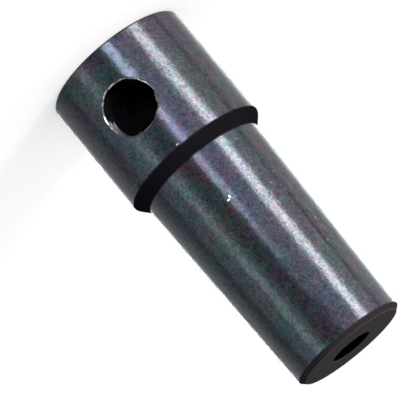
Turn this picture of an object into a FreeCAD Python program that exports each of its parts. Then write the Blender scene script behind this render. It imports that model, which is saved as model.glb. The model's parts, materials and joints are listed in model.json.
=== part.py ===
import FreeCAD, Part
import os

import Sketcher

# Drill chuck arbor: one turned piece of steel. Its cylindrical head is clamped on a motor's shaft by a set screw,
# and a drill chuck is pressed on its self-holding B10 taper.
# It stands on the head's face. The origin is the centre of that face, +Z runs along the axis to the taper's small
# end, and the tapped hole for the set screw opens towards -Y.

# Driving sizes in millimetres and degrees: the cell's alias, its value and what it measures
DRIVING_SIZES = (
    ("head_diameter", 11.8, "head, outside diameter"),
    ("head_length", 9.8, "head, from its face to the shoulder"),
    ("head_edge_break", 0.15, "head, bevel round its face"),
    ("shoulder_length", 0.9, "conical shoulder, along the axis"),
    ("shoulder_corner_radius", 0.4, "shoulder, rounding of its outer corner"),
    ("shoulder_root_radius", 0.3, "shoulder, fillet where the shank starts"),
    ("gauge_diameter", 10.094, "B10 taper, diameter at its gauge plane"),
    ("gauge_distance", 14.5, "B10 taper, gauge plane to the small end"),
    ("taper_rate", 0.04988, "B10 taper, loss of diameter for each millimetre"),
    ("taper_length", 17.5, "shank, from the shoulder to its end face"),
    ("end_bevel_length", 0.42, "shank's end bevel, along the axis"),
    ("end_bevel_depth", 0.45, "shank's end bevel, along the radius"),
    ("end_corner_radius", 0.1, "shank's end bevel, rounding of its two corners"),
    ("bore_diameter", 3.2, "bore for a 3.17 shaft, right through"),
    ("bore_edge_break", 0.1, "bore, bevel at both mouths"),
    ("tap_drill_diameter", 4.2, "set screw hole, drilled for an M5 thread"),
    ("screw_height", 5.0, "set screw hole, its axis above the head's face"),
    ("drill_point_angle", 118.0, "set screw hole, angle of the drill's point"),
    ("screw_mouth_radius", 0.12, "set screw hole, rounding of its mouth"),
)

# What is worked out from the driving sizes, written once as expressions on the sheet's cells
HEAD_RADIUS = "sizes.head_diameter / 2"
ROOT_HEIGHT = "sizes.head_length + sizes.shoulder_length"
FULL_HEIGHT = "sizes.head_length + sizes.shoulder_length + sizes.taper_length"
ROOT_RADIUS = "(sizes.gauge_diameter + sizes.taper_rate * (sizes.taper_length - sizes.gauge_distance)) / 2"
BEVEL_HEIGHT = f"{FULL_HEIGHT} - sizes.end_bevel_length"
BEVEL_RADIUS = "(sizes.gauge_diameter + sizes.taper_rate * (sizes.end_bevel_length - sizes.gauge_distance)) / 2"
END_RADIUS = f"{BEVEL_RADIUS} - sizes.end_bevel_depth"

# The turned outline's corners, as (radius, height)
TURNED_OUTLINE = (
    ("0", "0"),
    (HEAD_RADIUS, "0"),
    (HEAD_RADIUS, "sizes.head_length"),
    (ROOT_RADIUS, ROOT_HEIGHT),
    (BEVEL_RADIUS, BEVEL_HEIGHT),
    (END_RADIUS, FULL_HEIGHT),
    ("0", FULL_HEIGHT),
)

START_POINT = 1
ORIGIN = (-1, 1)
SAME_PLACE = 1e-5


def driving_sheet(doc):
    """The spreadsheet that holds the driving sizes, one row each."""
    sheet = doc.addObject("Spreadsheet::Sheet", "sizes")
    for row, (alias, value, meaning) in enumerate(DRIVING_SIZES, start=1):
        sheet.set(f"A{row}", meaning)
        sheet.set(f"B{row}", str(value))
        sheet.setAlias(f"B{row}", alias)
    doc.recompute()
    return sheet


def origin_plane(body, role):
    """One of the body's own origin planes, found by its role."""
    return next(feature for feature in body.Origin.OriginFeatures if feature.Role == role)


def sketch_on(body, name, role):
    """An empty sketch on one of the body's origin planes."""
    sketch = body.newObject("Sketcher::SketchObject", name)
    sketch.AttachmentSupport = [(origin_plane(body, role), "")]
    sketch.MapMode = "FlatFace"
    return sketch


def hold(sketch, kind, name, geometry, point, expression):
    """Holds a point at a distance from the sketch's origin that follows the sheet."""
    if expression == "0":
        # a point on an axis lies on that axis line: -2 is the upright one, -1 the level one
        axis = -2 if kind == "DistanceX" else -1
        sketch.addConstraint(Sketcher.Constraint("PointOnObject", geometry, point, axis))
        return
    distance = float(sketch.evalExpression(expression))
    constraint = Sketcher.Constraint(kind, *ORIGIN, geometry, point, distance)
    index = sketch.addConstraint(constraint)
    sketch.renameConstraint(index, name)
    sketch.setExpression(f"Constraints.{name}", expression)


def outline_sketch(body, name, corners):
    """A closed outline of straight lines on the XZ plane, with every corner held by its radius and height."""
    sketch = sketch_on(body, name, "XZ_Plane")
    points = []
    for radius, height in corners:
        across = float(sketch.evalExpression(radius))
        along = float(sketch.evalExpression(height))
        points.append(FreeCAD.Vector(across, along, 0))
    for index, start in enumerate(points):
        end = points[(index + 1) % len(points)]
        sketch.addGeometry(Part.LineSegment(start, end), False)
    for index in range(len(points)):
        following = (index + 1) % len(points)
        sketch.addConstraint(Sketcher.Constraint("Coincident", index, START_POINT + 1, following, START_POINT))
    for index, (radius, height) in enumerate(corners):
        hold(sketch, "DistanceX", f"corner_{index}_radius", index, START_POINT, radius)
        hold(sketch, "DistanceY", f"corner_{index}_height", index, START_POINT, height)
    return sketch


def circle_sketch(body, name, role, diameter, height):
    """A circle centred on the part's axis, or above the origin, whose diameter follows the sheet."""
    sketch = sketch_on(body, name, role)
    radius = float(sketch.evalExpression(diameter)) / 2
    along = float(sketch.evalExpression(height))
    centre = FreeCAD.Vector(0, along, 0)
    circle = sketch.addGeometry(Part.Circle(centre, FreeCAD.Vector(0, 0, 1), radius), False)
    index = sketch.addConstraint(Sketcher.Constraint("Diameter", circle, 2 * radius))
    sketch.renameConstraint(index, "diameter")
    sketch.setExpression("Constraints.diameter", diameter)
    hold(sketch, "DistanceX", "centre_across", circle, 3, "0")
    hold(sketch, "DistanceY", "centre_height", circle, 3, height)
    return sketch


def drilled_hole(body, name, sketch, diameter):
    """A plain drilled hole from a sketched circle, with its other settings left to the caller."""
    body.Document.recompute()
    hole = body.newObject("PartDesign::Hole", name)
    hole.Profile = sketch
    hole.ThreadType = "None"
    hole.setExpression("Diameter", diameter)
    hole.HoleCutType = "None"
    return hole


def ring_edges(shape, height, radius):
    """Names of the round edges about the part's axis at a height and a radius."""
    names = []
    for number, edge in enumerate(shape.Edges, start=1):
        curve = edge.Curve
        if not isinstance(curve, Part.Circle):
            continue
        off_axis = abs(curve.Center.x) + abs(curve.Center.y)
        off_place = abs(curve.Center.z - height) + abs(curve.Radius - radius)
        if off_axis + off_place < SAME_PLACE:
            names.append(f"Edge{number}")
    return names


def mouth_edges(shape, drill_radius, height, head_radius):
    """Names of the edges where the set screw hole leaves the head's cylinder."""
    names = []
    for number, edge in enumerate(shape.Edges, start=1):
        middle = edge.valueAt((edge.FirstParameter + edge.LastParameter) / 2)
        from_axis = (middle.x ** 2 + middle.y ** 2) ** 0.5
        from_drill = (middle.x ** 2 + (middle.z - height) ** 2) ** 0.5
        on_head = abs(from_axis - head_radius) < SAME_PLACE
        if on_head and middle.y < 0 and abs(from_drill - drill_radius) < SAME_PLACE:
            names.append(f"Edge{number}")
    return names


def dressed_edges(body, kind, name, edges, size):
    """A bevel or a rounding on named edges of the last feature, whose size follows the sheet."""
    if not edges:
        raise RuntimeError(f"{name}: no edge was found to work on")
    base = body.Tip
    feature = body.newObject(f"PartDesign::{kind}", name)
    feature.Base = (base, edges)
    size_property = "Size" if kind == "Chamfer" else "Radius"
    feature.setExpression(size_property, size)
    body.Document.recompute()
    return feature


def turned_blank(body):
    """The arbor as it leaves the lathe, solid: head, shoulder, tapered shank and end bevel."""
    sketch = outline_sketch(body, "turned_outline", TURNED_OUTLINE)
    body.Document.recompute()
    blank = body.newObject("PartDesign::Revolution", "turned_blank")
    blank.Profile = sketch
    blank.ReferenceAxis = (sketch, ["V_Axis"])
    blank.Angle = 360
    body.Document.recompute()
    return blank


def round_outline(body, sheet):
    """The rounded shoulder, the end bevel's softened corners and the bevel round the head's face."""
    value = body.evalExpression
    head_corner = ring_edges(body.Shape, sheet.head_length, value(HEAD_RADIUS))
    dressed_edges(body, "Fillet", "shoulder_corner", head_corner, "sizes.shoulder_corner_radius")
    root = ring_edges(body.Shape, value(ROOT_HEIGHT), value(ROOT_RADIUS))
    dressed_edges(body, "Fillet", "shoulder_root", root, "sizes.shoulder_root_radius")
    bevel_corners = ring_edges(body.Shape, value(BEVEL_HEIGHT), value(BEVEL_RADIUS))
    bevel_corners += ring_edges(body.Shape, value(FULL_HEIGHT), value(END_RADIUS))
    dressed_edges(body, "Fillet", "end_corners", bevel_corners, "sizes.end_corner_radius")
    face_edge = ring_edges(body.Shape, 0, value(HEAD_RADIUS))
    dressed_edges(body, "Chamfer", "head_edge", face_edge, "sizes.head_edge_break")


def drill_bore(body, sheet):
    """The shaft's bore, right through along the axis, with both mouths bevelled."""
    circle = circle_sketch(body, "bore_circle", "XY_Plane", "sizes.bore_diameter", "0")
    bore = drilled_hole(body, "shaft_bore", circle, "sizes.bore_diameter")
    bore.DepthType = "ThroughAll"
    bore.Reversed = True
    body.Document.recompute()
    radius = sheet.bore_diameter / 2
    mouths = ring_edges(body.Shape, 0, radius)
    mouths += ring_edges(body.Shape, body.evalExpression(FULL_HEIGHT), radius)
    dressed_edges(body, "Chamfer", "bore_mouths", mouths, "sizes.bore_edge_break")


def drill_screw_hole(body, sheet):
    """The tapping drill's hole for the set screw: through the head's wall, full width to the bore's axis."""
    circle = circle_sketch(body, "screw_circle", "XZ_Plane", "sizes.tap_drill_diameter", "sizes.screw_height")
    circle.setExpression("AttachmentOffset.Base.z", HEAD_RADIUS)
    hole = drilled_hole(body, "set_screw_hole", circle, "sizes.tap_drill_diameter")
    hole.DepthType = "Dimension"
    hole.setExpression("Depth", HEAD_RADIUS)
    hole.DrillPoint = "Angled"
    hole.setExpression("DrillPointAngle", "sizes.drill_point_angle")
    body.Document.recompute()
    head_radius = body.evalExpression(HEAD_RADIUS)
    mouth = mouth_edges(body.Shape, sheet.tap_drill_diameter / 2, sheet.screw_height, head_radius)
    dressed_edges(body, "Fillet", "screw_mouth", mouth, "sizes.screw_mouth_radius")


def make_arbor(doc, sheet):
    """The one solid of the part."""
    body = doc.addObject("PartDesign::Body", "arbor")
    body.Label = "arbor"
    turned_blank(body)
    round_outline(body, sheet)
    drill_bore(body, sheet)
    drill_screw_hole(body, sheet)
    return body


def check_document(doc):
    """Raises an error where an object failed to compute."""
    for item in doc.Objects:
        if "Invalid" in item.State or "Error" in item.State:
            raise RuntimeError(f"{item.Label}: {item.State}")


def check_arbor(body, sheet):
    """Raises an error unless the arbor is one valid solid from which both holes were cut."""
    shape = body.Shape
    if shape.isNull() or not shape.isValid() or len(shape.Solids) != 1:
        raise RuntimeError("arbor: not one valid solid")
    wall_middle = (sheet.head_diameter + sheet.bore_diameter) / 4
    places = {
        "bore": FreeCAD.Vector(0, 0, body.evalExpression(FULL_HEIGHT) / 2),
        "set screw hole": FreeCAD.Vector(0, -wall_middle, sheet.screw_height),
    }
    for name, place in places.items():
        if shape.isInside(place, SAME_PLACE, True):
            raise RuntimeError(f"arbor: the {name} was not cut")


def main():
    doc = FreeCAD.newDocument("drill_chuck_arbor")
    sheet = driving_sheet(doc)
    body = make_arbor(doc, sheet)
    doc.recompute()
    check_document(doc)
    check_arbor(body, sheet)
    os.makedirs("parts", exist_ok=True)
    body.Shape.exportStep(f"parts/{body.Label}.step")
    box = body.Shape.optimalBoundingBox(False, False)
    print(f"{body.Label}: {box.XLength:.3f} x {box.YLength:.3f} x {box.ZLength:.3f} mm")
    print(f"{body.Label}: volume {body.Shape.Volume:.2f} mm3, {len(body.Shape.Faces)} faces")


main()
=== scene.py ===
# Drill chuck arbor, one turned piece of blackened steel: its visible mesh, its finish and its stage.
# The frame is the part's own, in metres. The arbor stands on its head, with its axis on Z, and the tapped
# hole for the set screw opens towards -Y. Sizes of the drawing and of the finish are given in millimetres.

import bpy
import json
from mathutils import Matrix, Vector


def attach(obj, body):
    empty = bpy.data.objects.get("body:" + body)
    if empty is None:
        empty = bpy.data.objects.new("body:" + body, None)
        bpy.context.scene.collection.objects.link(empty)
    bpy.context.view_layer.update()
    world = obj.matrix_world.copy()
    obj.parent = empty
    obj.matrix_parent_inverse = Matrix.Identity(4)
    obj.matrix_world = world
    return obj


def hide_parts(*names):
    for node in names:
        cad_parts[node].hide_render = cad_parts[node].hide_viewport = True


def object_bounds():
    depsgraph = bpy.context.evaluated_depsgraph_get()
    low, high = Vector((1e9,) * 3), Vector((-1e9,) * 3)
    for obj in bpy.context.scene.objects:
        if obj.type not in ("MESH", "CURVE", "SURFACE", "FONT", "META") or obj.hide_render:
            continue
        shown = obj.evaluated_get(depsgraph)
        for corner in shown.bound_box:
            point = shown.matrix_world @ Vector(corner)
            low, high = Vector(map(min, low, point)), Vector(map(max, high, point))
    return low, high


bl_info = {
    "name": "Drill Chuck Arbor",
    "version": (1, 0, 0),
    "blender": (4, 5, 0),
    "location": "View3D > Sidebar > Arbor",
    "description": "Makes a blackened steel drill chuck arbor, and the stage that it stands on",
    "category": "Object",
}

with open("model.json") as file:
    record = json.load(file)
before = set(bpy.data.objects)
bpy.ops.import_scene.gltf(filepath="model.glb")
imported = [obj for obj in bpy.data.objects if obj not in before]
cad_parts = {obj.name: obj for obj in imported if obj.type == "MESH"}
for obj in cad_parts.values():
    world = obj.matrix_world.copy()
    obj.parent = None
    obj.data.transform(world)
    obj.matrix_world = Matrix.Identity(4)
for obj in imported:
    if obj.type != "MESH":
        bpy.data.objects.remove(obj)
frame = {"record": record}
CAD_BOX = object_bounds()

import json
import math

import bpy
from mathutils import Matrix, Vector

MM = 0.001
CAD_LOW, CAD_HIGH = CAD_BOX
MOUNTS = {mount["name"]: mount for mount in frame["record"]["mounts"]}
BORE = MOUNTS["shaft_bore"]
SCREW_HOLE = MOUNTS["set_screw_hole"]
TAPER = MOUNTS["chuck_taper"]

# millimetres
HEAD_RADIUS = (CAD_HIGH.x - CAD_LOW.x) / 2 / MM
HEAD_LENGTH = 9.8
FULL_LENGTH = CAD_HIGH.z / MM
SHANK_LENGTH = TAPER["dims"]["length_mm"]
ROOT_HEIGHT = FULL_LENGTH - SHANK_LENGTH
GAUGE_RADIUS = TAPER["dims"]["r_mm"]
GAUGE_HEIGHT = TAPER["pos_m"][2] / MM
BORE_RADIUS = BORE["dims"]["r_mm"]
DRILL_RADIUS = SCREW_HOLE["dims"]["r_mm"]
HOLE_HEIGHT = SCREW_HOLE["pos_m"][2] / MM
TAPER_RATE = 0.04988  # loss of diameter for each unit of length, on a B10 taper

PIECE = "turned_arbor"


# Sizes and colours that a user would change


def length(name, description, millimetres):
    """A length property, whose default is given in millimetres."""
    return bpy.props.FloatProperty(
        name=name, description=description, default=millimetres * MM, min=0.0, unit="LENGTH", precision=5
    )


def angle(name, description, degrees):
    """An angle property, whose default is given in degrees."""
    return bpy.props.FloatProperty(
        name=name, description=description, default=math.radians(degrees), unit="ROTATION"
    )


def share(name, description, value):
    """A property from 0 to 1."""
    return bpy.props.FloatProperty(
        name=name, description=description, default=value, min=0.0, max=1.0, subtype="FACTOR"
    )


def count(name, description, value, least):
    """A property that is a whole number."""
    return bpy.props.IntProperty(name=name, description=description, default=value, min=least)


def colour(name, description, value):
    """A colour property, in linear red, green and blue."""
    return bpy.props.FloatVectorProperty(
        name=name, description=description, default=value, size=3, min=0.0, max=1.0, subtype="COLOR"
    )


class TurnedSizes(bpy.types.PropertyGroup):
    """The turned outline, as the drawing gives it"""

    head_diameter: length("Head Diameter", "Across the cylindrical head", 2 * HEAD_RADIUS)
    full_length: length("Full Length", "From the head's face to the small end", FULL_LENGTH)
    head_length: length("Head Length", "From the head's face to the shoulder", HEAD_LENGTH)
    head_edge_break: length("Head Edge Break", "Bevel round the head's face", 0.15)
    shank_length: length("Shank Length", "From the shoulder to the small end", SHANK_LENGTH)
    shoulder_corner_radius: length("Shoulder Corner Radius", "Rounding of the shoulder's outer corner", 0.4)
    shoulder_root_radius: length("Shoulder Root Radius", "Fillet where the shank starts", 0.3)
    gauge_diameter: length("Gauge Diameter", "Across the taper at its gauge plane", 2 * GAUGE_RADIUS)
    gauge_height: length("Gauge Height", "From the head's face to the gauge plane", GAUGE_HEIGHT)
    taper_rate: bpy.props.FloatProperty(
        name="Taper Rate",
        description="Loss of diameter for each unit of length",
        default=TAPER_RATE,
        precision=5,
    )
    end_bevel_length: length("End Bevel Length", "Bevel at the small end, along the axis", 0.42)
    end_bevel_depth: length("End Bevel Depth", "Bevel at the small end, along the radius", 0.45)
    end_corner_radius: length("End Corner Radius", "Rounding of the end bevel's two corners", 0.1)
    bore_diameter: length("Bore Diameter", "Across the bore for the shaft", 2 * BORE_RADIUS)
    bore_edge_break: length("Bore Edge Break", "Bevel at both mouths of the bore", 0.1)
    segments: count("Segments", "Flats round the axis", 384, 24)
    arc_points: count("Arc Points", "Points in each rounded corner", 8, 1)


class TappedSizes(bpy.types.PropertyGroup):
    """The tapped hole for the set screw"""

    drill_diameter: length("Drill Diameter", "Across the tapping drill's hole", 2 * DRILL_RADIUS)
    hole_height: length("Hole Height", "Hole's axis above the head's face", HOLE_HEIGHT)
    thread_diameter: length("Thread Diameter", "Across the roots of the thread", 5.0)
    thread_pitch: length("Thread Pitch", "From one turn to the next", 0.8)
    root_width: length("Root Width", "Flat at the root of the thread", 0.1)
    flank_angle: angle("Flank Angle", "Between the two flanks of the thread", 60.0)
    thread_turn: angle("Thread Turn", "Where round the hole the thread starts", 200.0)
    mouth_radius: length("Mouth Radius", "Rounding of the hole's mouth", 0.16)
    burr: length("Burr", "How far the mouth's rim wanders in and out", 0.10)
    run_in: length("Run In", "Depth under the surface where the thread is full", 0.5)
    tap_lead: length("Tap Lead", "Stretch in which the thread fades out at its inner end", 0.8)
    point_angle: angle("Point Angle", "Angle of the tapping drill's point", 118.0)
    columns: count("Columns", "Flats round the hole", 96, 12)
    pitch_rows: count("Pitch Rows", "Rows of faces in one pitch", 16, 6)


class BlackSteel(bpy.types.PropertyGroup):
    """The blackened finish, its wear and its painted shade"""

    body: colour("Body", "Blackened turned surface", (0.0235, 0.0275, 0.0345))
    teal: colour("Teal", "Greenish clouds in the oxide", (0.017, 0.032, 0.036))
    violet: colour("Violet", "Purplish clouds in the oxide", (0.030, 0.0235, 0.038))
    warm: colour("Warm", "Tint of the reddish clouds", (1.0, 0.84, 0.7))
    cool: colour("Cool", "Tint of the bluish clouds", (0.74, 0.86, 1.0))
    rust: colour("Rust", "Reddish specks", (0.16, 0.062, 0.040))
    pit: colour("Pit", "Dark pits in the surface", (0.010, 0.004, 0.004))
    bare: colour("Bare", "Bare steel at worn edges and nicks", (0.40, 0.39, 0.39))
    thread: colour("Thread", "Cut thread under its thin oxide", (0.105, 0.110, 0.120))
    # painted shade: dull oxide painted near black, with no gloss, on the shoulder and on the head's edge
    # bevel
    black: colour("Black", "Thick, dull oxide on the shoulder", (0.0019, 0.0019, 0.0024))
    # painted shade: a near-black dull colour inside the bore and the tapped hole, far darker than their oxide
    depth: colour("Depth", "Oxide and oil inside the bore and the tapped hole", (0.0012, 0.0012, 0.0016))
    # painted shade: the small end's bevel is painted dark and dull, as it faces away from the light
    bevel: colour("Bevel", "Dull oxide on the small end's bevel", (0.0085, 0.0082, 0.0092))
    # painted shade: the small end's flat face gets a matt grey tone, set to how dark it looks in its light,
    # in place of glossy oxide
    face: colour("Face", "Dull oxide on the small end's flat face", (0.040, 0.036, 0.037))
    roughness: share("Roughness", "Roughness of the turned surfaces", 0.38)
    streak: share("Streak", "How far the turning lines draw highlights out along the axis", 0.98)
    edge_gloss: share("Edge Gloss", "Brightness of the oxide where it is seen at a flat angle", 0.76)


class StageLook(bpy.types.PropertyGroup):
    """Floor and background"""

    floor: colour("Floor", "Floor's own colour", (0.9, 0.9, 0.9))
    fill: share("Fill", "Strength of the plain light from all round", 0.4)


# Node trees


class Term:
    """A number on a node's socket. Arithmetic on it adds the Math nodes that work it out."""

    def __init__(self, tree, socket):
        self.tree = tree
        self.socket = socket

    def math(self, operation, *others):
        sockets = dict(enumerate((self, *others)))
        return self.tree.term("ShaderNodeMath", {"operation": operation}, sockets)

    def __add__(self, other):
        return self.math("ADD", other)

    __radd__ = __add__

    def __sub__(self, other):
        return self.math("SUBTRACT", other)

    def __rsub__(self, other):
        return self.tree.term("ShaderNodeMath", {"operation": "SUBTRACT"}, {0: other, 1: self})

    def __mul__(self, other):
        return self.math("MULTIPLY", other)

    __rmul__ = __mul__

    def __truediv__(self, other):
        return self.math("DIVIDE", other)

    def __neg__(self):
        return self * -1

    def __mod__(self, other):
        return self.math("FLOORED_MODULO", other)

    def __gt__(self, other):
        return self.math("GREATER_THAN", other)

    def __lt__(self, other):
        return self.math("LESS_THAN", other)

    def clamped(self):
        return self.math("MAXIMUM", 0.0).math("MINIMUM", 1.0)


class Tree:
    """A node tree that is being built."""

    def __init__(self, tree):
        self.tree = tree

    def node(self, kind, settings=None, sockets=None):
        """A new node of a kind. Its settings are made first, and then the values or links of its sockets."""
        made = self.tree.nodes.new(kind)
        for name, value in (settings or {}).items():
            # an index switch gets its items one by one
            if name == "item_count":
                while len(made.index_switch_items) < value:
                    made.index_switch_items.new()
            else:
                setattr(made, name, value)
        for key, value in (sockets or {}).items():
            self.feed(self.pick(made.inputs, key), value)
        return made

    @staticmethod
    def pick(sockets, key):
        """A socket by its place, its identifier or its name."""
        if isinstance(key, int):
            return sockets[key]
        named = [socket for socket in sockets if socket.identifier == key]
        return named[0] if named else sockets[key]

    def feed(self, socket, value):
        """Links a socket to a term, an output or a node, or gives it a value."""
        if isinstance(value, Term):
            value = value.socket
        if isinstance(value, bpy.types.Node):
            value = value.outputs[0]
        if isinstance(value, bpy.types.NodeSocket):
            self.tree.links.new(value, socket)
        else:
            socket.default_value = value

    def term(self, kind, settings=None, sockets=None, output=0):
        """One output of a new node, as a number to go on working with."""
        made = self.node(kind, settings, sockets)
        return Term(self, self.pick(made.outputs, output))

    def between(self, value, low, high, start=0.0, end=1.0):
        """Goes smoothly from start to end while the value goes from low to high."""
        sockets = {"Value": value, "From Min": low, "From Max": high, "To Min": start, "To Max": end}
        return self.term("ShaderNodeMapRange", {"interpolation_type": "SMOOTHSTEP"}, sockets)

    def point(self, x, y, z):
        """A vector from three numbers."""
        return self.node("ShaderNodeCombineXYZ", None, {"X": x, "Y": y, "Z": z}).outputs[0]

    def parts(self, vector):
        """The three numbers of a vector."""
        split = self.node("ShaderNodeSeparateXYZ", None, {0: vector})
        return tuple(Term(self, output) for output in split.outputs)

    def length_of(self, vector):
        """How long a vector is."""
        return self.term("ShaderNodeVectorMath", {"operation": "LENGTH"}, {0: vector}, "Value")

    def vector_math(self, operation, *vectors):
        """The vector that a Vector Math node works out."""
        sockets = dict(enumerate(vectors))
        return self.node("ShaderNodeVectorMath", {"operation": operation}, sockets).outputs[0]

    def scaled(self, vector, factor):
        """A vector or a colour times a number."""
        sockets = {0: vector, "Scale": factor}
        return self.node("ShaderNodeVectorMath", {"operation": "SCALE"}, sockets).outputs[0]

    def mixed(self, factor, first, second, blend="MIX"):
        """A colour that goes from the first to the second, or is tinted by the second."""
        sockets = {"Factor_Float": factor, "A_Color": first, "B_Color": second}
        mix = self.node("ShaderNodeMix", {"data_type": "RGBA", "blend_type": blend}, sockets)
        return self.pick(mix.outputs, "Result_Color")

    def over(self, factor, below, above):
        """A shader that goes from the one below to the one above."""
        return self.node("ShaderNodeMixShader", None, {0: factor, 1: below, 2: above})


# The shape


SOCKET_KINDS = {"FLOAT": "NodeSocketFloat", "INT": "NodeSocketInt"}
TINY = 2e-7  # metres, closer than which two points are one
TURNED = "turned"  # name of the mark on the faces that the lathe made, and not the tap
ROW_REACH = 1.2  # from a corner to the plain row beside it, in radii of the corner
SMOOTH_ANGLE = math.radians(28.0)  # past this angle between two faces the edge is a sharp one

# rows of the tap's grid: the middle of its outer lid, the lid's rim, the flare just outside the surface,
# the rounded mouth, the thread, the drill's point
LID_MIDDLE, LID_RIM, FLARE = 0, 1, 2
MOUTH_ROWS = 8
MOUTH_END = FLARE + MOUTH_ROWS
THREAD_TURNS = 9
LID_LIFT = 0.6 * MM
MOUTH_START = math.radians(12.0)  # the rounding leaves the surface at this angle, so that the cut is clean
FLARE_REACH = 0.3  # how far the flare runs on outwards, as a share of the mouth's radius
RIM_SCALE, RIM_DETAIL = 2.6, 3.0  # noise round the mouth's rim
RIM_SWING = 4  # brings that noise to about 1 either way


def own_properties(group):
    """The properties that a group defines itself."""
    return [prop for prop in group.bl_rna.properties if prop.identifier not in ("rna_type", "name")]


def sized_tree(name, *groups):
    """A geometry tree with one named input for each property of some groups.

    It comes with the inputs' numbers by property, and the properties' values by the input's identifier.
    """
    tree = bpy.data.node_groups.new(name, "GeometryNodeTree")
    tree.is_modifier = True
    labels, values = {}, {}
    for group in groups:
        for prop in own_properties(group):
            kind = SOCKET_KINDS[prop.type]
            socket = tree.interface.new_socket(name=prop.name, in_out="INPUT", socket_type=kind)
            labels[prop.identifier] = prop.name
            values[socket.identifier] = getattr(group, prop.identifier)
    tree.interface.new_socket(name="Geometry", in_out="OUTPUT", socket_type="NodeSocketGeometry")
    made = Tree(tree)
    entry = made.node("NodeGroupInput")
    sizes = {key: Term(made, entry.outputs[label]) for key, label in labels.items()}
    return made, sizes, values


def end_tree(made, geometry):
    """Gives the tree its result."""
    made.node("NodeGroupOutput", None, {"Geometry": geometry})
    return made.tree


def closed_outwards(made, geometry):
    """Joins the seams of a mesh whose faces were made pointing inwards, and turns them outwards."""
    merged = made.node("GeometryNodeMergeByDistance", None, {"Geometry": geometry, "Distance": TINY})
    return made.node("GeometryNodeFlipFaces", None, {"Mesh": merged})


def outline_corners(size):
    """The turned outline's corners, each as its radius, its height and its rounding."""
    head = size["head_diameter"] / 2
    bore = size["bore_diameter"] / 2
    top = size["full_length"]
    root_height = top - size["shank_length"]
    bevel_height = top - size["end_bevel_length"]

    def taper_radius(height):
        return (size["gauge_diameter"] - (height - size["gauge_height"]) * size["taper_rate"]) / 2

    bevel = taper_radius(bevel_height)
    # a plain row close to each rounded corner keeps the long faces beside it straight where they are shaded
    head_row = size["head_length"] - size["shoulder_corner_radius"] * ROW_REACH
    root_row = root_height + size["shoulder_root_radius"] * ROW_REACH
    end_row = bevel_height - size["end_corner_radius"] * ROW_REACH
    return (
        (bore + size["bore_edge_break"], 0.0, 0.0),
        (head - size["head_edge_break"], 0.0, 0.0),
        (head, size["head_edge_break"], 0.0),
        (head, head_row, 0.0),
        (head, size["head_length"], size["shoulder_corner_radius"]),
        (taper_radius(root_height), root_height, size["shoulder_root_radius"]),
        (taper_radius(root_row), root_row, 0.0),
        (taper_radius(end_row), end_row, 0.0),
        (bevel, bevel_height, size["end_corner_radius"]),
        (bevel - size["end_bevel_depth"], top, size["end_corner_radius"]),
        (bore + size["bore_edge_break"], top, 0.0),
        (bore, top - size["bore_edge_break"], 0.0),
        (bore, size["bore_edge_break"], 0.0),
    )


def rounded_outline(made, corners, arc_points, carrier):
    """A closed curve through the corners, drawn from the carrier's radius and with its heights downwards."""
    index = made.node("GeometryNodeInputIndex")
    places, radii = {"Index": index}, {"Index": index}
    for number, (radius, height, rounding) in enumerate(corners):
        places[f"Item_{number}"] = made.point(radius - carrier, -height if height else 0.0, 0.0)
        radii[f"Item_{number}"] = rounding
    corner_count = len(corners)
    settings = {"item_count": corner_count}
    corner_place = made.node("GeometryNodeIndexSwitch", {"data_type": "VECTOR", **settings}, places)
    corner_radius = made.node("GeometryNodeIndexSwitch", {"data_type": "FLOAT", **settings}, radii)
    line = made.node("GeometryNodeMeshLine", None, {"Count": corner_count})
    moved = made.node("GeometryNodeSetPosition", None, {"Geometry": line, "Position": corner_place})
    curve = made.node("GeometryNodeMeshToCurve", None, {"Mesh": moved})
    closed = made.node("GeometryNodeSetSplineCyclic", None, {"Geometry": curve, "Cyclic": True})
    sockets = {"Curve": closed, "Count": arc_points, "Radius": corner_radius}
    return made.node("GeometryNodeFilletCurve", {"mode": "POLY"}, sockets)


def turned_tree(settings):
    """Geometry nodes that turn the arbor's outline round its axis into one closed ring of faces."""
    made, size, _ = sized_tree("turned_outline", settings)
    # the outline is carried round a circle of this radius, and its own upright axis points down as it goes
    carrier = (size["head_diameter"] / 2 + size["bore_diameter"] / 2) / 2
    outline = rounded_outline(made, outline_corners(size), size["arc_points"], carrier)
    sockets = {"Resolution": size["segments"], "Radius": carrier}
    ring = made.node("GeometryNodeCurvePrimitiveCircle", None, sockets)
    upright = made.node("GeometryNodeSetCurveNormal", {"mode": "Z_UP"}, {"Curve": ring})
    turned = made.node("GeometryNodeCurveToMesh", None, {"Curve": upright, "Profile Curve": outline})
    marked = made.node(
        "GeometryNodeStoreNamedAttribute",
        {"data_type": "BOOLEAN", "domain": "FACE"},
        {"Geometry": closed_outwards(made, turned), "Name": TURNED, "Value": True},
    )
    return end_tree(made, marked)


def hole_mouth(made, size, row, rim_place, surface):
    """Radius, Y and raggedness of the mouth's rows: a quarter round from the surface to the hole's wall."""
    mouth = size["mouth_radius"]
    sockets = {"Vector": rim_place, "Scale": RIM_SCALE, "Detail": RIM_DETAIL}
    ragged = (made.term("ShaderNodeTexNoise", None, sockets) - 0.5) * RIM_SWING * size["burr"]
    rounding = MOUTH_START + ((row - FLARE) / MOUTH_ROWS).clamped() * (math.pi / 2 - MOUTH_START)
    before = (row < FLARE + 0.5) * FLARE_REACH
    outwards = mouth * (1 - rounding.math("SINE") + before * math.cos(MOUTH_START))
    inwards = mouth * (1 - rounding.math("COSINE") - before * math.sin(MOUTH_START))
    radius = size["drill_diameter"] / 2 + ragged + outwards
    return radius, surface(radius) + inwards, ragged


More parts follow.
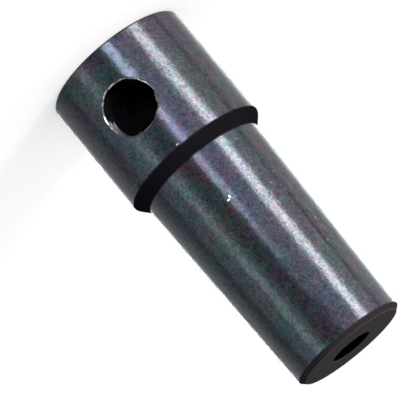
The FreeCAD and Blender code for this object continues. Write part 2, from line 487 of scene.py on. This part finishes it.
def hole_thread(made, size, turns, turn, surface, first, ragged):
    """Radius and Y of the thread's rows, each of which climbs one pitch in a turn."""
    drill, pitch = size["drill_diameter"] / 2, size["thread_pitch"]
    # the rows are held between the mouth and the drill's point
    wall_start = surface(drill) + size["mouth_radius"]
    y = (first + pitch * (turns - turn)).math("MAXIMUM", wall_start).math("MINIMUM", 0.0)
    from_root = (turns % 1.0 - 0.5).math("ABSOLUTE") * pitch
    depth = size["thread_diameter"] / 2 - drill
    flank = depth * (size["flank_angle"] / 2).math("TANGENT")
    form = (1 - (from_root - size["root_width"] / 2) / flank).clamped()
    run_in = made.between(y - surface(drill), size["mouth_radius"], size["run_in"])
    run_out = made.between(y, -size["tap_lead"], 0.0, 1.0, 0.0)
    return drill + depth * form * run_in * run_out + ragged * (1 - run_in), y


def tapped_tree(settings, head_radius):
    """Geometry nodes that make the solid which the tapped hole takes away: mouth, thread and drill point."""
    made, size, _ = sized_tree("tapped_hole", settings)
    rows = size["pitch_rows"] * THREAD_TURNS + (MOUTH_END + 2)
    sockets = {"Vertices X": size["columns"] + 1, "Vertices Y": rows}
    grid = made.node("GeometryNodeMeshGrid", None, sockets)
    index = made.term("GeometryNodeInputIndex")
    row = index % rows
    turn = (index / rows).math("FLOOR") / size["columns"]
    round_angle = turn * math.tau
    across, up = round_angle.math("COSINE"), round_angle.math("SINE")

    def surface(radius):
        """Y of the head's surface at a radius from the hole's axis."""
        reach = radius * across
        return -(head_radius**2 - reach * reach).math("SQRT")

    rim_place = made.point(across, up, 0.0)
    mouth_radius, mouth_y, ragged = hole_mouth(made, size, row, rim_place, surface)
    turns = (row - MOUTH_END) / size["pitch_rows"]
    first = -head_radius - size["thread_pitch"] * (size["thread_turn"] / math.tau)
    thread_radius, thread_y = hole_thread(made, size, turns, turn, surface, first, ragged)
    tip_y = size["drill_diameter"] / 2 / (size["point_angle"] / 2).math("TANGENT")
    lid_y = -head_radius - LID_LIFT

    # each limit lies half a row past a whole one
    is_lid = row < LID_RIM + 0.5
    is_middle = row < LID_MIDDLE + 0.5
    is_mouth = (row > LID_RIM + 0.5) * (row < MOUTH_END + 0.5)
    is_tip = row > rows - 1.5
    is_thread = (row > MOUTH_END + 0.5) * (1 - is_tip)
    radius = (
        is_lid * (1 - is_middle) * mouth_radius
        + is_mouth * mouth_radius
        + is_thread * thread_radius
    )
    y = is_lid * lid_y + is_mouth * mouth_y + is_thread * thread_y + is_tip * tip_y
    position = made.point(radius * across, y, size["hole_height"] + radius * up)
    moved = made.node("GeometryNodeSetPosition", None, {"Geometry": grid, "Position": position})
    return end_tree(made, closed_outwards(made, moved))


def turned_normal(made, normal):
    """A face's normal, brought into the plane through the axis and the point where it is used."""
    nx, ny, nz = made.parts(normal)
    x, y, _ = made.parts(made.node("GeometryNodeInputPosition"))
    reach = (x * x + y * y).math("SQRT").math("MAXIMUM", TINY)
    side = (nx * x + ny * y).math("SIGN")
    level = (1 - nz * nz).math("MAXIMUM", 0.0).math("SQRT") * side / reach
    return made.point(x * level, y * level, nz)


def turned_shading(made, geometry, cut_edges):
    """Smooth shading with sharp edges, and true normals on the turned faces."""
    smooth = made.node(
        "GeometryNodeSetShadeSmooth",
        {"domain": "FACE"},
        {"Geometry": geometry, "Shade Smooth": True},
    )
    steep = made.term("GeometryNodeInputMeshEdgeAngle", None, None, "Unsigned Angle") > SMOOTH_ANGLE
    sharp = made.node("FunctionNodeBooleanMath", {"operation": "OR"}, {0: steep, 1: cut_edges})
    edged = made.node(
        "GeometryNodeSetShadeSmooth",
        {"domain": "EDGE"},
        {"Geometry": smooth, "Selection": sharp, "Shade Smooth": False},
    )
    normal = made.node("GeometryNodeInputNormal").outputs["Normal"]
    mark = made.node("GeometryNodeInputNamedAttribute", {"data_type": "BOOLEAN"}, {"Name": TURNED})
    chosen = made.node(
        "GeometryNodeSwitch",
        {"input_type": "VECTOR"},
        {"Switch": mark, "False": normal, "True": turned_normal(made, normal)},
    )
    return made.node(
        "GeometryNodeSetMeshNormal",
        {"mode": "FREE", "domain": "CORNER"},
        {"Mesh": edged, "Custom Normal": chosen},
    )


def cut_tree(parts, steel):
    """Geometry nodes that take the tapped hole out of the turned body and give the result its finish.

    parts holds the settings and the tree of the body, and then of the hole.
    """
    made, size, values = sized_tree("arbor_with_tapped_hole", *(settings for settings, _ in parts))

    def finished(geometry):
        return made.node("GeometryNodeSetMaterial", None, {"Geometry": geometry, "Material": steel})

    def part_node(settings, tree):
        fed = {prop.name: size[prop.identifier] for prop in own_properties(settings)}
        return made.node("GeometryNodeGroup", {"node_tree": tree}, fed)

    # both solids have the finish before the cut too, which leaves the result with one material only
    body, hole = (finished(part_node(*part)) for part in parts)
    cut = made.node(
        "GeometryNodeMeshBoolean",
        {"operation": "DIFFERENCE", "solver": "EXACT"},
        {"Mesh 1": body, "Mesh 2": hole},
    )
    shaded = turned_shading(made, cut.outputs["Mesh"], cut.outputs["Intersecting Edges"])
    real = made.node("GeometryNodeRealizeInstances", None, {"Geometry": shaded})
    return end_tree(made, finished(real)), values


def made_mesh(name, tree, values):
    """A new object with the plain mesh that a geometry tree makes from its inputs' values."""
    piece = bpy.data.objects.new(name, bpy.data.meshes.new(name))
    bpy.context.scene.collection.objects.link(piece)
    modifier = piece.modifiers.new("making", "NODES")
    modifier.node_group = tree
    for identifier, value in values.items():
        modifier[identifier] = value
    graph = bpy.context.evaluated_depsgraph_get()
    result = bpy.data.meshes.new_from_object(piece.evaluated_get(graph), depsgraph=graph)
    piece.modifiers.clear()
    piece.data = result
    result.name = name
    return piece


# The finish. Places and sizes are in millimetres, and a noise's scale is its features in each of them


# clouds of colour: scale and seed of the small ones, and scale, seed and strength of the large ones
GREEN_TO_PURPLE = (2.3, 1.0, 0.42, 2.0, 0.5)
RED_TO_BLUE = (2.0, 4.0, 0.36, 5.0, 0.5)
# noise at which each hue is at its fullest. Halfway the oxide has its plain colour
HALFWAY = 0.5
GREEN_FULL, PURPLE_FULL = 0.30, 0.70
RED_FULL, BLUE_FULL = 0.28, 0.72
PLAIN_SHARE = 0.6  # how far the oxide under the film keeps to its plain colour

GRAINS = ((7.5, 7.0, 1.9), (2.6, 8.0, 0.8))  # grains of light and dark: scale, seed and strength
LINE_SCALE, LINE_SHADE = 14.0, 0.35  # lines that the turning tool left: scale and strength
DARKEST_SHADE = 0.3

FILM_SHARE = 0.036  # how much of the surface the thin matt film covers
FILM_LEVEL = 0.036  # the film's mean colour
FILM_CONTRAST = 13.0  # how much more colourful its clouds are than the oxide's
FILM_GRAIN = 2.5  # and how much stronger its grains are

# relief of the turned surface: scale, detail, seed and height of its waves and of its bumps
WAVES, BUMPS = (3.2, 1.0, 9.0, 0.010), (7.0, 0.0, 10.0, 0.004)
LINE_HEIGHT = 0.0008  # relief of the turning tool's lines
STREAK_TURN = 0.25  # part of a turn that lays the highlights along the axis

RAGGED_SCALE, RAGGED_SEED, RAGGED_REACH = 9.0, 11.0, 1.3  # rims of marks and of the dull oxide
MARK_RIM = (0.75, 1.25)  # a mark fades out between these shares of its size
SPECK_SHARE = 0.35
WORN_SCALE, WORN_SEED, WORN_FADE = 2.2, 12.0, (0.46, 0.58)  # where the hole's mouth is worn bright
CUT_ROUGHNESS = 0.28
DULL = {"Metallic": 0.0, "Roughness": 0.6, "Specular IOR Level": 0.0}

# heights between which one finish fades into the next
# the head's edge bevel gets the near-black dull colour as painted shade
HEAD_EDGE_FADE = (0.05, 0.13)
HOLE_BAND = (0.4, HEAD_LENGTH - 0.06)
# the shoulder gets the near-black dull colour as painted shade
SHOULDER_START_FADE = (HEAD_LENGTH - 0.14, HEAD_LENGTH - 0.04)
SHOULDER_END_FADE = (ROOT_HEIGHT + 0.03, ROOT_HEIGHT + 0.17)
SHOULDER_START_RAGGED, SHOULDER_END_RAGGED = 0.06, 0.08
# the small end's bevel and face get dull colours of painted shade
BEVEL_FADE = (FULL_LENGTH - 0.41, FULL_LENGTH - 0.34)
FACE_FADE = (FULL_LENGTH - 0.03, FULL_LENGTH - 0.01)
# radii between which it does so: in the bore, below the hole's mouth, and at the outer edge of that mouth
BORE_FADE = (BORE_RADIUS + 0.06, BORE_RADIUS + 0.10)
HOLE_FADE = (HEAD_RADIUS - 0.208, HEAD_RADIUS - 0.158)
MOUTH_FADE = (HEAD_RADIUS - 0.028, HEAD_RADIUS - 0.008)
# the hole's inside is painted near black as painted shade, but not its turns near the mouth on the side
# towards the shank, where light falls in; these stay glossy cut metal
BRIGHT_TURN_RADII, BRIGHT_TURN_HEIGHTS, BRIGHT_TURN_SHARE = (4.0, 4.8), (4.4, 5.1), 0.95

# marks of wear: degrees round the axis towards +X, height, half the width and half the height
NICKS = (
    (-12.6, 15.02, 0.11, 0.05),
    (-15.2, 14.86, 0.05, 0.10),
    (-9.9, 9.58, 0.10, 0.04),
)
SPECKS = (
    (-71.4, 5.29, 0.07, 0.07),
    (-52.0, 11.53, 0.08, 0.06),
    (-52.6, 15.75, 0.09, 0.05),
    (-59.7, 16.66, 0.08, 0.07),
)
PITS = (
    (-39.7, 4.70, 0.06, 0.06),
    (-38.1, 5.03, 0.05, 0.06),
    (-42.1, 4.21, 0.06, 0.05),
)
RUST_SPOTS = (
    (-62.1, 21.56, 0.10, 0.09),
    (-67.9, 19.63, 0.09, 0.08),
    (-63.2, 15.07, 0.11, 0.07),
)


def emptied(holder):
    """The node tree of a material or a world, without the nodes that it starts with."""
    holder.use_nodes = True
    holder.node_tree.nodes.clear()
    return holder.node_tree


def solid(value):
    """A colour property's value as a socket takes it."""
    return (*value, 1.0)


def outline_radius(height):
    """Radius of the head or of the taper at a height, in millimetres."""
    if height < HEAD_LENGTH:
        return HEAD_RADIUS
    return GAUGE_RADIUS - (height - GAUGE_HEIGHT) * TAPER_RATE / 2


class SteelTree(Tree):
    """The finish's node tree, which knows the place on the arbor in millimetres."""

    def __init__(self, tree):
        super().__init__(tree)
        where = self.node("ShaderNodeTexCoord").outputs["Object"]
        self.place = self.scaled(where, 1 / MM)
        x, y, self.height = self.parts(self.place)
        self.radius = (x * x + y * y).math("SQRT")
        self.ragged = (self.clouds(RAGGED_SCALE, RAGGED_SEED) - HALFWAY) * RAGGED_REACH

    def clouds(self, scale, seed, detail=1.0):
        """Noise from 0 to 1."""
        sockets = {"Vector": self.place, "Scale": scale, "Detail": detail, "W": seed}
        return self.term("ShaderNodeTexNoise", {"noise_dimensions": "4D"}, sockets)

    def turning_lines(self):
        """Noise from 0 to 1 that changes only along the axis."""
        sockets = {"W": self.height, "Scale": LINE_SCALE, "Detail": 1.0}
        return self.term("ShaderNodeTexNoise", {"noise_dimensions": "1D"}, sockets)

    def marks(self, rows):
        """1 on a few small marks with ragged rims, and 0 elsewhere."""
        total = 0
        for azimuth, height, half_width, half_height in rows:
            out, turn = outline_radius(height), math.radians(azimuth)
            middle = (out * math.sin(turn), -out * math.cos(turn), height)
            away = self.vector_math("SUBTRACT", self.place, middle)
            sizes = (1 / half_width, 1 / half_width, 1 / half_height)
            reach = self.length_of(self.vector_math("MULTIPLY", away, sizes))
            total = self.between(reach + self.ragged, *MARK_RIM, 1.0, 0.0) + total
        return total.clamped()

    def stretches(self):
        """For each stretch with a finish of its own or with painted shade, 1 on it and 0 elsewhere."""
        z, radius, ragged = self.height, self.radius, self.ragged
        low, high = HOLE_BAND
        in_band = (z > low) * (z < high)
        hole = self.between(radius, *HOLE_FADE, 1.0, 0.0) * in_band
        unshaded_turns = self.between(radius, *BRIGHT_TURN_RADII) * self.between(z, *BRIGHT_TURN_HEIGHTS)
        start = self.between(z + ragged * SHOULDER_START_RAGGED, *SHOULDER_START_FADE)
        end = self.between(z + ragged * SHOULDER_END_RAGGED, *SHOULDER_END_FADE, 1.0, 0.0)
        return {
            "mouth": self.between(radius, *MOUTH_FADE, 1.0, 0.0) * in_band,
            "hole": hole,
            # painted shade inside the hole, left off the turns where light falls in
            "hole_shade": hole * (1 - unshaded_turns * BRIGHT_TURN_SHARE),
            "shoulder": start * end,
            "edge": self.between(z, *HEAD_EDGE_FADE, 1.0, 0.0),
            "bevel": self.between(z, *BEVEL_FADE),
            "face": self.between(z, *FACE_FADE),
            "bore": self.between(radius, *BORE_FADE, 1.0, 0.0),
        }


def hue_clouds(made, scale, seed, large_scale, large_seed, strength):
    """Noise that a hue follows: small clouds, with larger ones behind them."""
    return made.clouds(scale, seed) + (made.clouds(large_scale, large_seed) - HALFWAY) * strength


def tinted_oxide(made, finish):
    """The oxide's colour, which goes from green to purple and from red to blue."""
    first, second = hue_clouds(made, *GREEN_TO_PURPLE), hue_clouds(made, *RED_TO_BLUE)
    tinted = made.mixed(made.between(first, HALFWAY, GREEN_FULL), solid(finish.body), solid(finish.teal))
    tinted = made.mixed(made.between(first, HALFWAY, PURPLE_FULL), tinted, solid(finish.violet))
    tinted = made.mixed(made.between(second, HALFWAY, RED_FULL), tinted, solid(finish.warm), "MULTIPLY")
    return made.mixed(made.between(second, HALFWAY, BLUE_FULL), tinted, solid(finish.cool), "MULTIPLY")


def oxide_shade(made, lines):
    """How light the oxide is, which changes in grains and in turning lines."""
    fine, coarse = ((made.clouds(scale, seed) - HALFWAY) * strength for scale, seed, strength in GRAINS)
    return (1 + (fine + coarse) + (lines - HALFWAY) * LINE_SHADE).math("MAXIMUM", DARKEST_SHADE)


def turned_metal(made, finish, tinted, shade, lines):
    """The turned surface: satin, with highlights drawn out along the axis, a slight relief, pits and rust."""
    oxide = made.scaled(made.mixed(PLAIN_SHARE, tinted, solid(finish.body)), shade)
    oxide = made.mixed(made.marks(PITS), oxide, solid(finish.pit))
    oxide = made.mixed(made.marks(RUST_SPOTS), oxide, solid(finish.rust))
    waves, bumps = (
        made.clouds(scale, seed, detail) * height for scale, detail, seed, height in (WAVES, BUMPS)
    )
    relief = waves + bumps + lines * LINE_HEIGHT
    sockets = {
        "Base Color": oxide,
        "Metallic": 1.0,
        "Roughness": finish.roughness,
        "Anisotropic": finish.streak,
        "Anisotropic Rotation": STREAK_TURN,
        "Specular Tint": solid((finish.edge_gloss,) * 3),
        "Normal": made.node("ShaderNodeBump", None, {"Strength": 1.0, "Distance": MM, "Height": relief}),
    }
    return made.node("ShaderNodeBsdfPrincipled", None, sockets)


def matt_film(made, finish, tinted, shade):
    """A thin matt film on the oxide, in which the same clouds are far more colourful."""
    offset = tuple(FILM_LEVEL - FILM_CONTRAST * value for value in finish.body)
    film = made.vector_math("MULTIPLY_ADD", tinted, (FILM_CONTRAST,) * 3, offset)
    film = made.vector_math("MAXIMUM", film, (0.0, 0.0, 0.0))
    film = made.scaled(film, (shade * FILM_GRAIN - (FILM_GRAIN - 1)).math("MAXIMUM", 0.0))
    return made.node("ShaderNodeBsdfPrincipled", None, {"Base Color": film, **DULL})


def cut_metal(made, finish, bare):
    """The hole's mouth and thread under a thin oxide, and bare steel where that is worn or knocked off."""
    base = made.mixed(bare.clamped(), solid(finish.thread), solid(finish.bare))
    sockets = {"Base Color": base, "Metallic": 1.0, "Roughness": CUT_ROUGHNESS}
    return made.node("ShaderNodeBsdfPrincipled", None, sockets)


def painted_shade_oxide(made, finish, stretch):
    """Dull colours of painted shade: near black on the shoulder and the head's edge bevel, dark on the end
    bevel, a matt grey on the end face, and darkest inside the bore and the hole.
    """
    base = made.mixed(stretch["bevel"], solid(finish.black), solid(finish.bevel))
    base = made.mixed(stretch["face"], base, solid(finish.face))
    base = made.mixed((stretch["bore"] + stretch["hole"]).clamped(), base, solid(finish.depth))
    return made.node("ShaderNodeBsdfPrincipled", None, {"Base Color": base, **DULL})


def black_steel(finish):
    """Blackened turned steel: satin, with lengthwise highlights, cloudy oxide, a few bare worn places, and
    painted shade on the shoulder, the head's edge, the small end and inside the bore and the hole.
    """
    material = bpy.data.materials.new("blackened_turned_steel")
    made = SteelTree(emptied(material))
    lines = made.turning_lines()
    tinted, shade = tinted_oxide(made, finish), oxide_shade(made, lines)
    stretch = made.stretches()
    nick, speck = made.marks(NICKS), made.marks(SPECKS) * SPECK_SHARE
    rim = stretch["mouth"] - stretch["hole"]
    worn = rim * made.between(made.clouds(WORN_SCALE, WORN_SEED), *WORN_FADE)
    # every stretch that gets painted shade in place of the glossy oxide
    painted_shade = stretch["shoulder"] + stretch["edge"] + stretch["bevel"] + stretch["bore"] + stretch["hole_shade"]

    film = matt_film(made, finish, tinted, shade)
    surface = made.over(FILM_SHARE, turned_metal(made, finish, tinted, shade, lines), film)
    cut = cut_metal(made, finish, nick + speck + worn)
    surface = made.over((nick + speck + stretch["mouth"]).clamped(), surface, cut)
    surface = made.over(painted_shade.clamped() * (1 - nick), surface, painted_shade_oxide(made, finish, stretch))
    made.node("ShaderNodeOutputMaterial", None, {"Surface": surface})
    return material


# The stage


WHITE = (1.0, 1.0, 1.0)

PHOTO_SIDE = 416  # pixels
HEAD_FACE_PIXEL = (116.81, 63.22)  # where the centre of the head's face is seen, from the top left
FOCAL_PIXELS = 2664.6
AXIS_TURN = 50.526  # degrees from the picture's right to the direction of the arbor's axis, downwards
CAMERA_ELEVATION = 14.122  # degrees above the plane of the head's face
CAMERA_TURN = -14.0  # degrees round the axis, from in front of the tapped hole towards -X
HEAD_FACE_DEPTH = 201.7 * MM  # from the camera to the centre of the head's face, along the line of sight
SENSOR = 36.0  # millimetres
CLIP_START = 0.01


def photo_camera():
    """The camera, where the photograph was taken from: the arbor's small end points to the lower right."""
    turn, lift, about = map(math.radians, (AXIS_TURN, CAMERA_ELEVATION, -CAMERA_TURN))
    axis = Vector((math.cos(lift) * math.cos(turn), math.cos(lift) * math.sin(turn), -math.sin(lift)))
    side = Vector((math.sin(turn), -math.cos(turn), 0.0))
    front = axis.cross(side)
    part_x = -math.cos(about) * side - math.sin(about) * front
    part_y = math.sin(about) * side - math.cos(about) * front
    # rows of this matrix are the camera's right, down and forward directions in the part's frame
    seen = Matrix((part_x, part_y, axis)).transposed()
    right, down, forward = seen[0].copy(), seen[1].copy(), seen[2].copy()
    middle = PHOTO_SIDE / 2
    across, below = ((pixel - middle) / FOCAL_PIXELS for pixel in HEAD_FACE_PIXEL)
    place = -(right * across + down * below + forward) * HEAD_FACE_DEPTH
    data = bpy.data.cameras.new("photo_camera")
    data.sensor_width = SENSOR
    data.lens = FOCAL_PIXELS / PHOTO_SIDE * SENSOR
    data.clip_start = CLIP_START
    camera = bpy.data.objects.new("photo_camera", data)
    facing = Matrix((right, -down, -forward)).transposed().to_4x4()
    camera.matrix_world = Matrix.Translation(place) @ facing
    bpy.context.scene.collection.objects.link(camera)
    bpy.context.scene.camera = camera


LAMP_DISTANCE = 0.8
STRIP_LOW, STRIP_HIGH = 0.4, 5.0  # degrees above the floor between which every strip stands
# name, degrees round the axis from the camera, degrees wide, radiance, colour
STRIPS = (
    ("tall_strip", 52.0, 15.0, 610.0, (1.0, 0.88, 0.79)),
    ("front_veil", 26.0, 33.0, 57.0, (0.91, 0.86, 1.0)),
    ("right_veil", 74.5, 29.0, 69.0, (1.0, 0.86, 0.78)),
    ("right_strip", 104.0, 18.0, 54.0, (1.0, 0.82, 0.77)),
    ("rear_veil", 125.0, 24.0, 30.0, (1.0, 0.95, 0.87)),
    ("back_right_strip", 160.0, 40.0, 90.0, (0.9, 1.0, 0.95)),
    ("back_left_strip", -166.0, 28.0, 50.0, (0.9, 1.0, 0.98)),
    ("rear_left_veil", -122.0, 34.0, 8.0, (0.85, 1.0, 0.98)),
    ("left_veil", -58.0, 56.0, 22.0, (0.77, 1.0, 0.86)),
    ("left_strip", -50.0, 15.0, 65.0, (0.85, 1.0, 0.82)),
)
# a strip close by, whose narrow beam is aimed at the head and fades along the shank
NEAR_STRIP = ("near_strip", 4.3, 9.5, 800.0, (0.9, 0.92, 1.0))
NEAR_DISTANCE = 0.16
BEAM_AIM, BEAM_END = -2.0 * MM, 25.0 * MM  # heights where the beam is strongest and where it ends
OVERHEAD = ("overhead", 0.9, 0.7, 2.2)  # name, height above the floor, side, radiance


def area_lamp(name, place, aim, width, height, radiance, tint, beam=math.pi):
    """A flat lamp with a given brightness of its face, turned towards a point.

    beam is the angle of its light.
    """
    data = bpy.data.lights.new(name, "AREA")
    data.shape = "RECTANGLE"
    data.size, data.size_y = width, height
    data.spread = beam
    half = beam / 2
    # a narrower beam is a brighter one for the same energy
    gathered = 1.0 if beam == math.pi else (math.tan(half) - half) / math.tan(half)
    data.energy = radiance * math.pi * width * height * gathered
    data.color = tint
    lamp = bpy.data.objects.new(name, data)
    lamp.location = place
    lamp.rotation_mode = "QUATERNION"
    lamp.rotation_quaternion = (aim - place).to_track_quat("-Z", "Y")
    lamp.visible_camera = False
    bpy.context.scene.collection.objects.link(lamp)


def strip_lamp(row, distance, aim_height=None, beam=math.pi):
    """A low strip at a distance from the axis, level or aimed at a height on it."""
    name, turn, wide, radiance, tint = row
    bottom, top = (distance * math.tan(math.radians(rise)) for rise in (STRIP_LOW, STRIP_HIGH))
    azimuth = math.radians(CAMERA_TURN - turn)
    place = Vector((distance * math.sin(azimuth), -distance * math.cos(azimuth), (bottom + top) / 2))
    aim = Vector((0.0, 0.0, place.z if aim_height is None else aim_height))
    width = 2 * distance * math.tan(math.radians(wide / 2))
    area_lamp(name, place, aim, width, top - bottom, radiance, tint, beam)


def stage_lamps():
    """Low strips all round, which draw the lengthwise highlights, and one soft lamp overhead."""
    for row in STRIPS:
        strip_lamp(row, LAMP_DISTANCE)
    strip_lamp(NEAR_STRIP, NEAR_DISTANCE, BEAM_AIM, 2 * math.atan((BEAM_END - BEAM_AIM) / NEAR_DISTANCE))
    name, height, side, radiance = OVERHEAD
    area_lamp(name, Vector((0.0, 0.0, height)), Vector(), side, side, radiance, WHITE)


def seen_directly(made):
    """1 for a ray from the camera, a reflection or a refraction, and 0 for light that falls on something."""
    path = made.node("ShaderNodeLightPath")
    rays = [Term(made, path.outputs[f"Is {kind} Ray"]) for kind in ("Camera", "Glossy", "Transmission")]
    return (rays[0] + rays[1] + rays[2]).clamped()


def white_world(look):
    """White where it is seen, and a plain soft fill where it lights."""
    world = bpy.data.worlds.new("white_studio")
    made = Tree(emptied(world))
    fill, white = (
        made.node("ShaderNodeBackground", None, {"Color": solid(WHITE), "Strength": strength})
        for strength in (look.fill, 1.0)
    )
    surface = made.over(seen_directly(made), fill, white)
    made.node("ShaderNodeOutputWorld", None, {"Surface": surface})
    bpy.context.scene.world = world


FLOOR_RADIUS = 3.0
FLOOR_CORNERS = ((-1, -1), (1, -1), (1, 1), (-1, 1))
SHADOW_RADII = (0.16, 0.5)  # the floor keeps its shadows inside the first, and is plain white past the second
PALE_SHARE = 0.4  # how much of the plain white the floor has inside the first


def floor_material(look):
    """Pale and matt near the arbor, and going over to plain white further out."""
    material = bpy.data.materials.new("pale_floor")
    made = Tree(emptied(material))
    away = made.length_of(made.node("ShaderNodeTexCoord").outputs["Object"])
    matt = made.node("ShaderNodeBsdfDiffuse", None, {"Color": solid(look.floor)})
    white = made.node("ShaderNodeEmission", None, {"Color": solid(WHITE), "Strength": 1.0})
    factor = made.between(away, *SHADOW_RADII, PALE_SHARE, 1.0) * seen_directly(made)
    made.node("ShaderNodeOutputMaterial", None, {"Surface": made.over(factor, matt, white)})
    return material


def pale_floor(look):
    """The floor that the arbor stands on."""
    mesh = bpy.data.meshes.new("floor")
    corners = [(x * FLOOR_RADIUS, y * FLOOR_RADIUS, 0.0) for x, y in FLOOR_CORNERS]
    mesh.from_pydata(corners, [], [range(len(corners))])
    mesh.materials.append(floor_material(look))
    floor = bpy.data.objects.new("floor", mesh)
    bpy.context.scene.collection.objects.link(floor)


# Operators and panel


class ARBOR_OT_turned_arbor(bpy.types.Operator):
    """Make the arbor: the turned body with its bore, its tapped hole and its blackened finish"""

    bl_idname = "arbor.turned_arbor"
    bl_label = "Turned Arbor"
    bl_options = {"REGISTER", "UNDO"}

    def execute(self, context):
        scene = context.scene
        turned = turned_tree(scene.arbor_turned)
        tapped = tapped_tree(scene.arbor_tapped, scene.arbor_turned.head_diameter / 2)
        parts = ((scene.arbor_turned, turned), (scene.arbor_tapped, tapped))
        tree, values = cut_tree(parts, black_steel(scene.arbor_steel))
        piece = made_mesh(PIECE, tree, values)
        if not piece.data.polygons:
            raise RuntimeError("the geometry nodes made no faces for the arbor")
        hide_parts("arbor")
        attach(piece, "root")
        return {"FINISHED"}


class ARBOR_OT_stage(bpy.types.Operator):
    """Set up the stage: pale floor, white surroundings, soft lamps and the camera"""

    bl_idname = "arbor.stage"
    bl_label = "Stage"
    bl_options = {"REGISTER", "UNDO"}

    def execute(self, context):
        look = context.scene.arbor_stage
        pale_floor(look)
        white_world(look)
        stage_lamps()
        photo_camera()
        context.scene.view_settings.view_transform = "Standard"
        return {"FINISHED"}


class ARBOR_PT_sidebar(bpy.types.Panel):
    """Panel with the arbor's pieces, sizes and finish"""

    bl_label = "Drill Chuck Arbor"
    bl_idname = "ARBOR_PT_sidebar"
    bl_space_type = "VIEW_3D"
    bl_region_type = "UI"
    bl_category = "Arbor"

    def draw(self, context):
        for operator in OPERATORS:
            self.layout.operator(operator.bl_idname)
        for holder, group in GROUPS.items():
            box = self.layout.box()
            box.label(text=group.__doc__)
            for key in group.__annotations__:
                box.prop(getattr(context.scene, holder), key)


OPERATORS = (ARBOR_OT_turned_arbor, ARBOR_OT_stage)
GROUPS = {
    "arbor_turned": TurnedSizes,
    "arbor_tapped": TappedSizes,
    "arbor_steel": BlackSteel,
    "arbor_stage": StageLook,
}


def register():
    for made in (*GROUPS.values(), *OPERATORS, ARBOR_PT_sidebar):
        bpy.utils.register_class(made)
    for holder, group in GROUPS.items():
        setattr(bpy.types.Scene, holder, bpy.props.PointerProperty(type=group))


def unregister():
    for holder in GROUPS:
        delattr(bpy.types.Scene, holder)
    for made in (ARBOR_PT_sidebar, *reversed(OPERATORS), *reversed(GROUPS.values())):
        bpy.utils.unregister_class(made)


def main():
    register()
    bpy.ops.arbor.turned_arbor()
    bpy.ops.arbor.stage()


if __name__ == "__main__":
    main()
